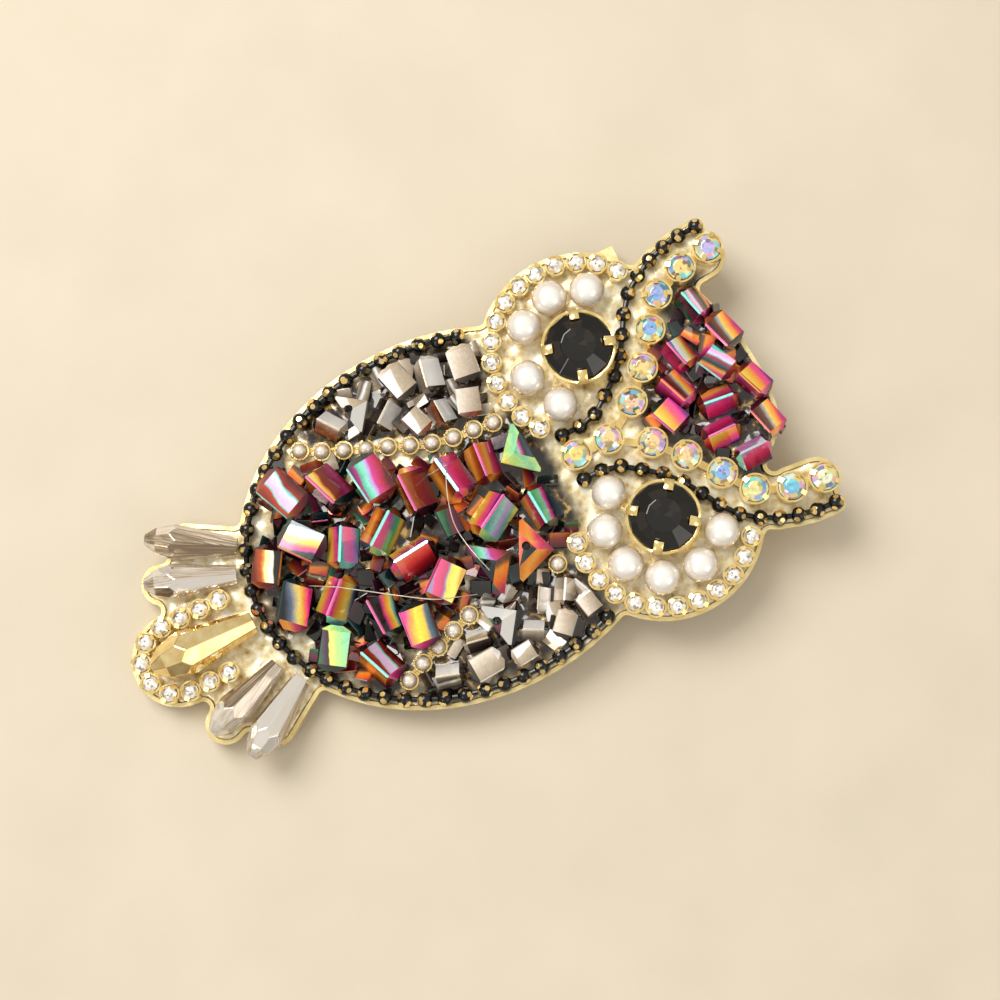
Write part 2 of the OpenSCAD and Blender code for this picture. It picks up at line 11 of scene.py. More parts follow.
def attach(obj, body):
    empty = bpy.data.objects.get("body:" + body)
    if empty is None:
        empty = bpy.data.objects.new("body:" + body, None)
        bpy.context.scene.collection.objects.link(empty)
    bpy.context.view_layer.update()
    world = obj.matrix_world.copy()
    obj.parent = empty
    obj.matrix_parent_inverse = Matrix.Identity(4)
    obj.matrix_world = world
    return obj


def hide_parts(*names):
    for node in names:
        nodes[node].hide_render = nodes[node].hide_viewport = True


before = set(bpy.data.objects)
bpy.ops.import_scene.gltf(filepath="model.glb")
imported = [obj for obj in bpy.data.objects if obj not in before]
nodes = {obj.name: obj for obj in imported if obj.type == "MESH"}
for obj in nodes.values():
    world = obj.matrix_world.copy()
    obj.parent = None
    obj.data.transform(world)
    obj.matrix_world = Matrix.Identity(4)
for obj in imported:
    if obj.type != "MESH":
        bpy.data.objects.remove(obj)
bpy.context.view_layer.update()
mm = 0.001  # the meshes are worked on in millimetres and scaled down at the end
scene = bpy.context.scene
print("frame loaded:", len(nodes), "nodes")

cameraLook = {
    "azimuth": 64.12,
    "elevation": 82.24,
    "distance": 218 * mm,
    "lens": 74.9,
    "nearest": 5 * mm,
    "aim": (0.8 * mm, 4.75 * mm, 7.04 * mm),
}


def directionFrom(azimuth, elevation):
    az, el = math.radians(azimuth), math.radians(elevation)
    return Vector((math.sin(az) * math.cos(el), -math.cos(az) * math.cos(el), math.sin(el)))


def standOff(name, data, away, distance, aim=(0, 0, 0)):
    # a camera or lamp put out along a direction, looking back at its aim
    thing = bpy.data.objects.new(name, data)
    thing.location = Vector(aim) + away * distance
    thing.rotation_euler = away.to_track_quat("Z", "Y").to_euler()
    scene.collection.objects.link(thing)
    return thing


def placeCamera(look):
    away = directionFrom(look["azimuth"], look["elevation"])
    data = bpy.data.cameras.new("camera")
    data.lens = look["lens"]
    data.clip_start = look["nearest"]
    scene.camera = standOff("camera", data, away, look["distance"], look["aim"])
    return away


viewSide = placeCamera(cameraLook)
scene.view_settings.view_transform = "Standard"

lightRows = [  # name, azimuth, elevation, distance, size, power, colour
    ("keyWindow", -70, 56, 0.50, 0.27, 1.95, (1.0, 0.975, 0.93)),
    ("sideFill", 120, 40, 0.60, 0.30, 0.35, (1.0, 0.96, 0.90)),
    ("backStrip", 20, 35, 0.60, 0.16, 0.30, (1.0, 0.97, 0.92)),
]


def placeLights(rows):
    for name, azimuth, elevation, distance, size, power, colour in rows:
        data = bpy.data.lights.new(name, "AREA")
        data.size = size
        data.energy = power
        data.color = colour
        standOff(name, data, directionFrom(azimuth, elevation), distance)


placeLights(lightRows)
print("camera and lights placed")


def paint(code):
    # a colour written as on a paint card, turned to the linear values that the shaders take
    parts = [int(code[i:i + 2], 16) / 255 for i in (1, 3, 5)]
    return tuple(c / 12.92 if c < 0.04045 else ((c + 0.055) / 1.055) ** 2.4 for c in parts) + (1.0,)


socketNames = {
    "metallic": "Metallic", "roughness": "Roughness", "ior": "IOR", "coat": "Coat Weight",
    "coatRoughness": "Coat Roughness", "transmission": "Transmission Weight",
    "specular": "Specular IOR Level",
}


def newMaterial(name, **settings):
    material = bpy.data.materials.new(name)
    material.use_nodes = True
    shader = material.node_tree.nodes["Principled BSDF"]
    for key, value in settings.items():
        shader.inputs[socketNames[key]].default_value = value
    return material, material.node_tree, shader


def setInputs(tree, node, inputs):
    # each input takes a link from another node's output, or a plain value
    for key, value in inputs.items():
        if hasattr(value, "is_output"):
            tree.links.new(value, node.inputs[key])
        else:
            node.inputs[key].default_value = value


def addNode(tree, kind, inputs=None, **settings):
    node = tree.nodes.new(kind)
    for key, value in settings.items():
        setattr(node, key, value)
    setInputs(tree, node, inputs or {})
    return node


def useGroup(tree, group, inputs):
    node = addNode(tree, "ShaderNodeGroup", node_tree=group)
    setInputs(tree, node, inputs)
    return node


def addMath(tree, operation, first, second=0.0):
    return addNode(tree, "ShaderNodeMath", {0: first, 1: second}, operation=operation).outputs[0]


def addRamp(tree, factor, stops):
    ramp = addNode(tree, "ShaderNodeValToRGB", {"Fac": factor})
    marks = ramp.color_ramp.elements
    marks.remove(marks[1])
    marks[0].position, marks[0].color = stops[0][0], paint(stops[0][1])
    for place, colour in stops[1:]:
        marks.new(place).color = paint(colour)
    return ramp.outputs["Color"]


def addMix(tree, factor, first, second, **settings):
    mixed = addNode(tree, "ShaderNodeMix", {0: factor}, data_type="RGBA", **settings)
    setInputs(tree, mixed, {"A": first, "B": second})
    return mixed.outputs["Result"]


def splitAxes(tree, vector):
    return addNode(tree, "ShaderNodeSeparateXYZ", {0: vector}).outputs


def objectPoint(tree):
    return tree.nodes.new("ShaderNodeTexCoord").outputs["Object"]


def facetMap(tree):
    return addNode(tree, "ShaderNodeUVMap", uv_map="facet").outputs["UV"]


def attributeOf(tree, name):
    return addNode(tree, "ShaderNodeAttribute", attribute_name=name).outputs["Fac"]


def newGroup(name, inputs, outputs):
    group = bpy.data.node_groups.new(name, "ShaderNodeTree")
    for label, kind, value in inputs:
        socket = group.interface.new_socket(name=label, in_out="INPUT", socket_type=kind)
        if value is not None:
            socket.default_value = value
    for label in outputs:
        group.interface.new_socket(name=label, in_out="OUTPUT", socket_type="NodeSocketFloat")
    return group, group.nodes.new("NodeGroupInput").outputs, group.nodes.new("NodeGroupOutput")


wearLook = {"grainShare": 0.35, "faint": 0.3, "strong": 0.7, "patchScale": 500.0}


def buildWear(look):
    # soft patches and fine grain: roughness and a bump height for polished and lacquered faces
    group, given, result = newGroup(
        "polishWear",
        [("Place", "NodeSocketVector", None), ("Low", "NodeSocketFloat", 0.1),
         ("High", "NodeSocketFloat", 0.3), ("Patch Scale", "NodeSocketFloat", look["patchScale"]),
         ("Grain Scale", "NodeSocketFloat", 6000.0)],
        ["Roughness", "Height", "Patches"])
    patches = addNode(group, "ShaderNodeTexNoise", {
        "Vector": given["Place"], "Scale": given["Patch Scale"], "Detail": 4.0}).outputs["Fac"]
    grain = addNode(group, "ShaderNodeTexNoise", {
        "Vector": given["Place"], "Scale": given["Grain Scale"], "Detail": 2.0}).outputs["Fac"]
    spread = addNode(group, "ShaderNodeMapRange", {
        "Value": patches, "From Min": look["faint"], "From Max": look["strong"],
        "To Min": given["Low"], "To Max": given["High"]})
    fine = addMath(group, "MULTIPLY", grain, look["grainShare"])
    setInputs(group, result, {
        "Roughness": spread.outputs["Result"], "Height": addMath(group, "ADD", fine, patches),
        "Patches": patches})
    return group


sparkLook = {"wedges": 8.0, "rings": 8.0, "ringTurn": 0.5, "seedSpread": 91.7, "tableReach": 0.24}


def buildSpark(look):
    # painted reflections: the light and dark wedges that a cut stone shows under its table, round
    # the stone's own map
    group, given, result = newGroup(
        "stoneSpark",
        [("Map", "NodeSocketVector", None), ("Seed", "NodeSocketFloat", 0.0)],
        ["Light", "Tint", "Table"])
    middle = addNode(group, "ShaderNodeVectorMath", {0: given["Map"], 1: (0.5, 0.5, 0.0)},
                     operation="SUBTRACT").outputs[0]
    axes = splitAxes(group, middle)
    angle = addMath(group, "ARCTAN2", axes["Y"], axes["X"])
    reach = addNode(group, "ShaderNodeVectorMath", {0: middle}, operation="LENGTH").outputs["Value"]
    turns = addMath(group, "ADD", addMath(group, "DIVIDE", angle, 2 * math.pi), 0.5)
    rings = addMath(group, "FLOOR", addMath(group, "MULTIPLY", reach, look["rings"]))
    steps = addMath(group, "ADD", addMath(group, "MULTIPLY", turns, look["wedges"]),
                    addMath(group, "MULTIPLY", rings, look["ringTurn"]))
    cell = addNode(group, "ShaderNodeCombineXYZ", {
        "X": addMath(group, "FLOOR", steps), "Y": rings,
        "Z": addMath(group, "MULTIPLY", given["Seed"], look["seedSpread"])})
    light = addNode(group, "ShaderNodeTexWhiteNoise", {"Vector": cell.outputs[0]})
    tone = addNode(group, "ShaderNodeSeparateColor", {0: light.outputs["Color"]}).outputs
    setInputs(group, result, {
        "Light": tone["Red"], "Tint": tone["Green"],
        "Table": addMath(group, "LESS_THAN", reach, look["tableReach"])})
    return group


def buildFoil():
    # fine crumpled grain of a metallic coating
    group, given, result = newGroup(
        "coatingGrain",
        [("Place", "NodeSocketVector", None), ("Scale", "NodeSocketFloat", 2500.0)],
        ["Grain", "Drift"])
    grain = addNode(group, "ShaderNodeTexNoise", {
        "Vector": given["Place"], "Scale": given["Scale"], "Detail": 3.0, "Roughness": 0.7})
    drift = addNode(group, "ShaderNodeTexNoise", {
        "Vector": given["Place"], "Scale": 420.0, "Detail": 2.0})
    setInputs(group, result, {"Grain": grain.outputs["Fac"], "Drift": drift.outputs["Fac"]})
    return group


wear = buildWear(wearLook)
spark = buildSpark(sparkLook)
foil = buildFoil()


def addBump(tree, shader, height, strength, depth):
    bump = addNode(tree, "ShaderNodeBump", {
        "Height": height, "Strength": strength, "Distance": depth * mm})
    setInputs(tree, shader, {"Normal": bump.outputs["Normal"]})


def addWear(tree, shader, low, high, patchScale=wearLook["patchScale"]):
    worn = useGroup(tree, wear, {
        "Place": objectPoint(tree), "Low": low, "High": high, "Patch Scale": patchScale})
    setInputs(tree, shader, {"Roughness": worn.outputs["Roughness"]})
    return worn.outputs


def wornColour(tree, shader, worn, dark, light):
    # each colour comes with the place of its stop over the worn patches
    setInputs(tree, shader, {"Base Color": addRamp(tree, worn["Patches"], [dark, light])})


def polishedMetal(name, light, dark, low, high, patchScale=wearLook["patchScale"], bump=0.15,
                  metallic=0.82):
    material, tree, shader = newMaterial(name, metallic=metallic)
    worn = addWear(tree, shader, low, high, patchScale)
    wornColour(tree, shader, worn, (0.3, dark), (0.65, light))
    addBump(tree, shader, worn["Height"], strength=bump, depth=0.05)
    return material


def lacquer(name, light, dark, low, high, **settings):
    material, tree, shader = newMaterial(name, coatRoughness=0.05, **settings)
    worn = addWear(tree, shader, low, high)
    wornColour(tree, shader, worn, (0.35, dark), (0.6, light))
    addBump(tree, shader, worn["Height"], strength=0.1, depth=0.03)
    return material


def pearlCoat(name, body, edge):
    material, tree, shader = newMaterial(name, metallic=0.32, coat=1.0, coatRoughness=0.05)
    worn = addWear(tree, shader, low=0.2, high=0.3)
    # painted shade and warm reflection at the rim: the edge colour grows where the surface turns
    # away from the camera
    shadedRim = addNode(tree, "ShaderNodeLayerWeight", {"Blend": 0.4})
    colour = addMix(tree, shadedRim.outputs["Facing"], paint(body), paint(edge))
    setInputs(tree, shader, {"Base Color": colour})
    addBump(tree, shader, worn["Height"], strength=0.06, depth=0.04)
    return material


def stonePattern(tree, seed):
    return useGroup(tree, spark, {"Map": facetMap(tree), "Seed": seed}).outputs


def cutGlass(name, stops, metallic, low, high, coat=1.0):
    # a foiled stone: painted reflections, the wedges under the table from dark to white
    material, tree, shader = newMaterial(
        name, metallic=metallic, coat=coat, coatRoughness=0.02, ior=1.5)
    pattern = stonePattern(tree, attributeOf(tree, "seed"))
    setInputs(tree, shader, {"Base Color": addRamp(tree, pattern["Light"], stops)})
    addWear(tree, shader, low, high)
    return material


rainbowLook = {
    "ownHue": 3.0, "tableWander": 0.12, "rimWander": 0.9,
    "tints": [(0.0, "#f5e07c"), (0.14, "#f8d8a0"), (0.26, "#f8b8d8"), (0.4, "#d0b8f0"),
              (0.52, "#78b8f0"), (0.64, "#80e8e0"), (0.76, "#e8f8f0"), (0.88, "#f0f0a8"),
              (1.0, "#f5e07c")],
    "shades": [(0.0, "#8c8680"), (0.18, "#e0dad6"), (0.4, "#ffffff"), (1.0, "#ffffff")],
}


def rainbowGlass(name, look):
    # a foiled stone with a pastel coating that turns from wedge to wedge, under painted reflections
    # that make the wedges lighter or darker
    material, tree, shader = newMaterial(
        name, metallic=0.25, coat=1.0, coatRoughness=0.02, ior=1.55)
    seed = attributeOf(tree, "seed")
    pattern = stonePattern(tree, seed)
    wander = addNode(tree, "ShaderNodeMapRange", {
        "Value": pattern["Table"], "To Min": look["rimWander"], "To Max": look["tableWander"]})
    turned = addMath(tree, "MULTIPLY", pattern["Tint"], wander.outputs["Result"])
    hue = addMath(tree, "ADD", addMath(tree, "MULTIPLY", seed, look["ownHue"]), turned)
    tint = addRamp(tree, addMath(tree, "FRACT", hue), look["tints"])
    # painted reflections: the wedges made lighter or darker
    shade = addRamp(tree, pattern["Light"], look["shades"])
    setInputs(tree, shader, {
        "Base Color": addMix(tree, 1.0, tint, shade, blend_type="MULTIPLY")})
    addWear(tree, shader, low=0.03, high=0.1)
    return material


coatLook = {
    "drift": 0.3, "slant": 0.25, "grain": 0.25, "grainTop": 0.1, "grainScale": 3200.0,
    "faint": 0.3, "strong": 0.7, "bump": 0.12, "bumpDepth": 0.02,
}


def coatedGlass(name, stops, metallic, low, high, lift):
    # one facet's coating: the stops run from the bead's ridge down to its foot
    look = coatLook
    material, tree, shader = newMaterial(name, metallic=metallic, coat=1.0, coatRoughness=0.03)
    axes = splitAxes(tree, facetMap(tree))
    specks = useGroup(tree, foil, {"Place": objectPoint(tree), "Scale": look["grainScale"]}).outputs
    shift = addMath(tree, "MULTIPLY", addMath(tree, "SUBTRACT", specks["Drift"], 0.5),
                    look["drift"])
    slant = addMath(tree, "MULTIPLY", addMath(tree, "SUBTRACT", axes["Y"], 0.5), look["slant"])
    across = addMath(tree, "ADD", axes["X"], addMath(tree, "ADD", shift, slant))
    shade = addNode(tree, "ShaderNodeMapRange", {
        "Value": specks["Grain"], "From Min": look["faint"], "From Max": look["strong"],
        "To Min": lift - look["grain"], "To Max": lift + look["grainTop"]})
    mixed = addMix(tree, 1.0, addRamp(tree, across, stops), shade.outputs["Result"],
                   blend_type="MULTIPLY", clamp_result=True)
    setInputs(tree, shader, {"Base Color": mixed})
    addWear(tree, shader, low, high)
    addBump(tree, shader, specks["Grain"], look["bump"], look["bumpDepth"])
    return material


palettes = {  # each stop's place and colour, from the facet's left or upper side to its other side
    "pinkStripe": "0 #7a2412, 0.2 #a8321c, 0.25 #58c8b8, 0.3 #f7b0e0, 0.62 #ffd4f4, "
                  "0.69 #6ad0c8, 0.75 #8c2418, 1 #3a0c0a",
    "goldEdge": "0 #ffd070, 0.14 #d89038, 0.22 #7a3418, 0.6 #6a1c34, 0.85 #8c2a5c, 1 #5a1c18",
    "tealRed": "0 #6a2060, 0.12 #a03078, 0.18 #40b890, 0.36 #8ed8c8, 0.5 #b890d8, 0.56 #c83a88, "
               "0.8 #a82040, 1 #50101c",
    "brownRed": "0 #a85a20, 0.35 #7a2c18, 0.7 #5c1428, 1 #38101c",
    "orangeBrown": "0 #c86a20, 0.4 #f0a040, 0.7 #b0501c, 1 #5a1c10",
    "raspberry": "0 #7c7aa4, 0.1 #d0407c, 0.5 #b01c54, 0.85 #7c1040, 1 #4a4a68",
    "orangeRose": "0 #e87838, 0.35 #f0a048, 0.6 #d04868, 1 #8a1848",
    "aquaLilac": "0 #58c0b0, 0.3 #a8e0dc, 0.6 #c0a8e8, 0.85 #70d0b8, 1 #d8e878",
    "goldMagenta": "0 #ffc850, 0.35 #f5a038, 0.6 #e0586c, 0.85 #d83c90, 1 #6a2070",
    "skyGold": "0 #2c3c48, 0.12 #b8dcec, 0.25 #fff4b8, 0.48 #f5b834, 0.68 #d84a50, 0.8 #b02a78, "
               "0.88 #12282c, 1 #0a1416",
    "pinkAqua": "0 #38c0a8, 0.16 #e088c8, 0.5 #f078b8, 0.8 #b08ad8, 1 #40c8b0",
    "magentaTeal": "0 #d84898, 0.28 #a84c98, 0.5 #3c9888, 0.7 #58a868, 0.88 #d8b048, 1 #6c5828",
    "coralRed": "0 #f07858, 0.3 #e04848, 0.6 #a81c28, 1 #4a0c14",
    "brickYellow": "0 #5c1810, 0.3 #a84818, 0.4 #e09038, 0.46 #ffec98, 0.74 #ffffe0, "
                   "0.8 #201814, 1 #0c0a0a",
    "greyGold": "0 #1c2428, 0.25 #60708c, 0.45 #c4bc90, 0.6 #ffd860, 0.8 #f08a3a, 0.92 #d82c88, "
                "1 #8a1850",
    "goldMiddle": "0 #d83c88, 0.22 #f08038, 0.5 #ffd050, 0.75 #c8b878, 0.88 #506880, 1 #20282c",
    "mint": "0 #e8e070, 0.35 #b8e488, 0.7 #88d4a4, 1 #c8e888",
    "mintDark": "0 #3a6a48, 0.14 #5a3a5c, 0.28 #2c3a2c, 0.33 #f0e878, 0.6 #b8e088, 1 #8cd8ac",
    "darkGold": "0 #0e1414, 0.28 #182020, 0.36 #b83a80, 0.5 #f08030, 0.68 #ffd050, "
                "0.82 #60b0a0, 0.92 #182428, 1 #0c1012",
    "pinkGold": "0 #e84898, 0.2 #f59a50, 0.42 #ffd84a, 0.66 #f0c040, 0.78 #506878, 1 #141c20",
    "roseYellow": "0 #8878a0, 0.07 #d02c70, 0.42 #a81850, 0.5 #7088a0, 0.55 #e8b838, "
                  "0.82 #ffdc50, 1 #b88818",
    "greenRose": "0 #38a070, 0.28 #78b890, 0.42 #b85098, 0.56 #8c1c58, 0.62 #1a2228, 1 #30404c",
    "orangeDark": "0 #242a30, 0.3 #705038, 0.45 #f09030, 0.75 #e06828, 1 #a83048",
    "magentaDark": "0 #e05ca0, 0.35 #b82868, 0.7 #501838, 1 #1c1014",
    "greenPlum": "0 #3a7850, 0.35 #2c4838, 0.6 #6c1c40, 1 #2a101c",
    "whiteGold": "0 #5878b0, 0.12 #e8f4f8, 0.35 #fff8c0, 0.6 #ffb838, 0.8 #e05848, 1 #a02868",
    "brownGold": "0 #3c1c10, 0.28 #6a3c28, 0.4 #8898a0, 0.52 #e8c060, 0.72 #f09830, "
                 "0.88 #d04c50, 1 #a82870",
    "pinkOverDark": "0 #48c0b0, 0.06 #f898d0, 0.26 #ffc8e8, 0.32 #50c0b0, 0.38 #a82458, "
                    "0.55 #384850, 0.7 #18201c, 0.85 #c88838, 1 #b02c58",
    "aqua": "0 #58d0b8, 0.5 #a0e4d8, 1 #68b8d0",
    "magentaLine": "0 #e884b4, 0.5 #d05890, 1 #983868",
    "darkTeal": "0 #28504c, 0.4 #122426, 1 #080e10",
    "darkPlum": "0 #48182c, 0.5 #241018, 1 #100a0c",
    # painted highlight: a facet white all over, where the silver coating catches the light
    "whiteSilver": "0 #ffffff, 0.6 #fffcf8, 1 #f2e8e0",
    "taupe": "0 #e6dacb, 0.5 #bcac9a, 1 #90826f",
    # painted highlight on the white first part of this facet
    "whiteTaupe": "0 #fffefa, 0.4 #fbf4ea, 0.48 #b6a692, 1 #968871",
    # painted glint: the white band across the middle of this facet
    "greyGlint": "0 #9c8f7e, 0.3 #5c5246, 0.5 #ffffff, 0.62 #a49682, 1 #4a4034",
    "smoke": "0 #6e6056, 0.5 #3a302a, 1 #1c1612",
    "deepGlass": "0 #20201e, 0.5 #100e0d, 1 #060505",
    "rosySmoke": "0 #a08078, 0.4 #7a4c38, 0.7 #8c4a28, 1 #2c1814",
}
darkOnes = {"darkTeal", "darkPlum", "smoke", "deepGlass"}  # sides without the coating
silverOnes = {"whiteSilver", "taupe", "whiteTaupe", "greyGlint"}
darkCoat = {"low": 0.05, "high": 0.12, "lift": 1.0}
brightCoat = {"low": 0.08, "high": 0.18, "lift": 1.35}
coats = {}


def readStops(line):
    return [(float(place), colour) for place, colour in (stop.split() for stop in line.split(","))]


def coat(name):
    # each coating becomes a material the first time that it is asked for
    if name not in coats:
        coats[name] = coatedGlass(
            name + "Glass", readStops(palettes[name]), 0.3 if name in silverOnes else 0.2,
            **(darkCoat if name in darkOnes else brightCoat))
    return coats[name]


goldPlate = polishedMetal("goldPlate", "#ffedb4", "#f0d48c", low=0.14, high=0.3)
goldSetting = polishedMetal(
    "goldSetting", "#ffeaa8", "#f4cc78", low=0.08, high=0.22, patchScale=900.0)
goldFlat = polishedMetal("goldFlat", "#ffe6a4", "#ecc068", low=0.1, high=0.2, patchScale=900.0)
goldDropGlass = polishedMetal(
    "goldDropGlass", "#ffebb0", "#e9c278", low=0.03, high=0.08, patchScale=700.0, bump=0.03,
    metallic=0.9)
blackLacquer = lacquer(
    "blackLacquer", "#0c0c0b", "#050505", low=0.1, high=0.25, coat=0.3, specular=0.35)
# each skin's second colour is the painted shade and warm reflection at the pearls' rims
pearlSkin = pearlCoat("pearlSkin", "#fffdf8", "#c4a67c")
seedSkin = pearlCoat("seedSkin", "#f2e6d6", "#947450")
# the stops are the tones of the painted reflections in the wedges; the black stone's lighter facets
# are painted reflections too
clearStone = cutGlass(
    "clearStone", [(0.0, "#8a8580"), (0.2, "#d4cec8"), (0.4, "#ffffff"), (1.0, "#ffffff")],
    metallic=0.3, low=0.03, high=0.1)
blackStone = cutGlass(
    "blackStone", [(0.0, "#020101"), (0.55, "#060504"), (0.8, "#171210"), (1.0, "#2a211b")],
    metallic=0.0, low=0.02, high=0.05, coat=0.3)
rainbowStone = rainbowGlass("rainbowStone", rainbowLook)

dropGlassLook = {
    "streaks": 7.0, "seedSpread": 40.0,
    # tones of the painted reflections, from tan to white
    "stops": [(0.0, "#8c7458"), (0.16, "#cdb898"), (0.34, "#fff6ea"), (0.66, "#fffdfa"),
              (0.84, "#f0e0cc"), (1.0, "#a8906e")],
}


def clearDrop(name, look):
    # pale see-through glass, each facet with a tone of its own, from tan to white, and streaks
    # along the drop: painted reflections in the glass
    material, tree, shader = newMaterial(
        name, metallic=0.35, roughness=0.02, ior=1.5, transmission=0.5, coat=1.0,
        coatRoughness=0.02)
    seed = attributeOf(tree, "seed")
    axes = splitAxes(tree, facetMap(tree))
    lines = addNode(tree, "ShaderNodeCombineXYZ", {
        "X": addMath(tree, "MULTIPLY", axes["X"], look["streaks"]), "Y": axes["Y"],
        "Z": addMath(tree, "MULTIPLY", seed, look["seedSpread"])})
    streaks = addNode(tree, "ShaderNodeTexNoise", {
        "Vector": lines.outputs[0], "Scale": 1.0, "Detail": 3.0, "Roughness": 0.7})
    drift = addMath(tree, "SUBTRACT", streaks.outputs["Fac"], 0.5)
    colour = addRamp(tree, addMath(tree, "ADD", seed, drift), look["stops"])
    setInputs(tree, shader, {"Base Color": colour})
    return material


champagneGlass = clearDrop("champagneGlass", dropGlassLook)

foilLook = {
    "cellScale": 1300.0, "creaseScale": 700.0, "cellShare": 0.25, "creaseShare": 0.9,
    "bright": [(0.34, "#947844"), (0.46, "#d6bc84"), (0.58, "#f0e0b2"), (0.72, "#fffae6")],
    "shadedNearBeads": [(0.34, "#080504"), (0.58, "#1c120a"), (0.66, "#5c4220"), (0.76, "#d8b870")],
}


def clearGlue(look):
    # glue over crumpled gold foil: the foil's cells and creases under a wet skin; the foil's light
    # and dark mottling is painted shade and reflection on its crumples, and painted shade darkens
    # it near the beads
    material, tree, shader = newMaterial(
        "clearGlue", metallic=0.3, coat=1.0, coatRoughness=0.03, ior=1.5)
    place = objectPoint(tree)
    cells = addNode(tree, "ShaderNodeTexVoronoi", {"Vector": place, "Scale": look["cellScale"]})
    creases = addNode(tree, "ShaderNodeTexNoise", {
        "Vector": place, "Scale": look["creaseScale"], "Detail": 5.0, "Roughness": 0.65})
    # painted shade and reflection: the crumples' tone, which also drives the bump, runs from dark
    # gold to near white
    tone = addMath(
        tree, "ADD", addMath(tree, "MULTIPLY", cells.outputs["Distance"], look["cellShare"]),
        addMath(tree, "MULTIPLY", creases.outputs["Fac"], look["creaseShare"]))
    # painted shade: the dark foil colour takes over where the shade attribute is high, near the
    # beads
    colour = addMix(tree, attributeOf(tree, "shade"), addRamp(tree, tone, look["bright"]),
                    addRamp(tree, tone, look["shadedNearBeads"]))
    setInputs(tree, shader, {"Base Color": colour})
    addWear(tree, shader, low=0.12, high=0.4)
    addBump(tree, shader, tone, strength=0.3, depth=0.12)
    return material


def nylonThread():
    material, tree, shader = newMaterial("nylonThread", transmission=0.3, ior=1.5, coat=0.6)
    worn = addWear(tree, shader, low=0.15, high=0.35)
    wornColour(tree, shader, worn, (0.35, "#d8ccb8"), (0.6, "#fbf4e6"))
    return material


def paleFloor():
    material, tree, shader = newMaterial("paleFloor", specular=0.2)
    worn = addWear(tree, shader, low=0.55, high=0.7, patchScale=60.0)
    wornColour(tree, shader, worn, (0.3, "#d0c6b3"), (0.7, "#d7ccba"))
    return material


print("materials made")

stageLook = {
    "size": 1600, "drop": 0.01, "worldPower": 0.72,
    "sky": [(0.0, "#9c907e"), (0.7, "#fdf9f0")],  # from the horizon to high up
}


def toMesh(name, bm):
    mesh = bpy.data.meshes.new(name)
    bm.to_mesh(mesh)
    bm.free()
    return mesh


def addPiece(name, bm, materials):
    # every finished mesh is put into the scene here, scaled from millimetres to metres
    bmesh.ops.scale(bm, vec=(mm, mm, mm), verts=bm.verts)
    mesh = toMesh(name, bm)
    for material in materials:
        mesh.materials.append(material)
    piece = bpy.data.objects.new(name, mesh)
    scene.collection.objects.link(piece)
    return piece


def makeStage(look):
    bm = bmesh.new()
    bmesh.ops.create_grid(bm, x_segments=1, y_segments=1, size=look["size"] / 2)
    bmesh.ops.translate(bm, vec=(0, 0, -look["drop"]), verts=bm.verts)
    floor = addPiece("floor", bm, [paleFloor()])
    world = bpy.data.worlds.new("studio")
    world.use_nodes = True
    scene.world = world
    tree = world.node_tree
    way = tree.nodes.new("ShaderNodeTexCoord").outputs["Generated"]
    setInputs(tree, tree.nodes["Background"], {
        "Color": addRamp(tree, splitAxes(tree, way)["Z"], look["sky"]),
        "Strength": look["worldPower"]})


makeStage(stageLook)
print("stage made")


meshLook = {"weld": 0.001, "flatAngle": 0.6, "sharpest": 18.0, "castFrom": 50}


def copyNode(name):
    bm = bmesh.new()
    bm.from_mesh(nodes[name].data)
    bmesh.ops.scale(bm, vec=(1 / mm, 1 / mm, 1 / mm), verts=bm.verts)
    bmesh.ops.remove_doubles(bm, verts=bm.verts, dist=meshLook["weld"])
    return bm


def copyFlats(name):
    # the node's mesh with each flat facet joined into a single face
    bm = copyNode(name)
    bmesh.ops.dissolve_limit(bm, angle_limit=math.radians(meshLook["flatAngle"]),
                             verts=bm.verts, edges=bm.edges)
    bm.normal_update()
    bm.faces.index_update()
    return bm


def looseParts(bm):
    left = set(bm.faces)
    parts = []
    while left:
        part, edge = [], [left.pop()]
        while edge:
            face = edge.pop()
            part.append(face)
            for line in face.edges:
                for other in line.link_faces:
                    if other in left:
                        left.remove(other)
                        edge.append(other)
        parts.append(sorted(part, key=lambda f: f.index))
    return sorted(parts, key=lambda part: part[0].index)


def middleOf(faces):
    places = [v.co for face in faces for v in face.verts]
    low = Vector([min(place[i] for place in places) for i in range(3)])
    high = Vector([max(place[i] for place in places) for i in range(3)])
    return (low + high) / 2


def softenEdges(bm, width, sharpest=meshLook["sharpest"]):
    edges = [e for e in bm.edges
             if len(e.link_faces) == 2 and e.calc_face_angle(0) > math.radians(sharpest)]
    bmesh.ops.bevel(bm, geom=edges, offset=width, offset_type="OFFSET", segments=1, profile=0.5,
                    affect="EDGES", clamp_overlap=True, material=-1)
    bm.normal_update()


def finishPiece(name, bm, materials, replaced=(), smooth=None):
    if smooth:
        for face in bm.faces:
            face.smooth = True
        for edge in bm.edges:
            edge.smooth = edge.calc_face_angle(0) < math.radians(smooth)
    piece = addPiece(name, bm, materials)
    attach(piece, "root")
    if replaced:
        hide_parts(*replaced)
    return piece


trayLook = {"edge": 0.09, "rimAngle": 40.0, "smooth": 30}


def makeTray(look):
    bm = copyFlats("backplate")
    softenEdges(bm, look["edge"], look["rimAngle"])
    finishPiece("tray", bm, [goldPlate], ["backplate"],
                smooth=look["smooth"])


makeTray(trayLook)
print("tray made")

beadLook = {
    "edge": 0.07,
    "skew": 0.3,  # sides that lean less than this on each other give no axis
    "endOn": 0.35, "upright": 0.1,  # an axis that shows shorter than this gives no direction
    "downShare": 0.8,
}
upSide = Vector((0, 0, 1))
photoRight = Vector((0.437, 0.9, 0))
photoDown = Vector((0.9, -0.437, 0))


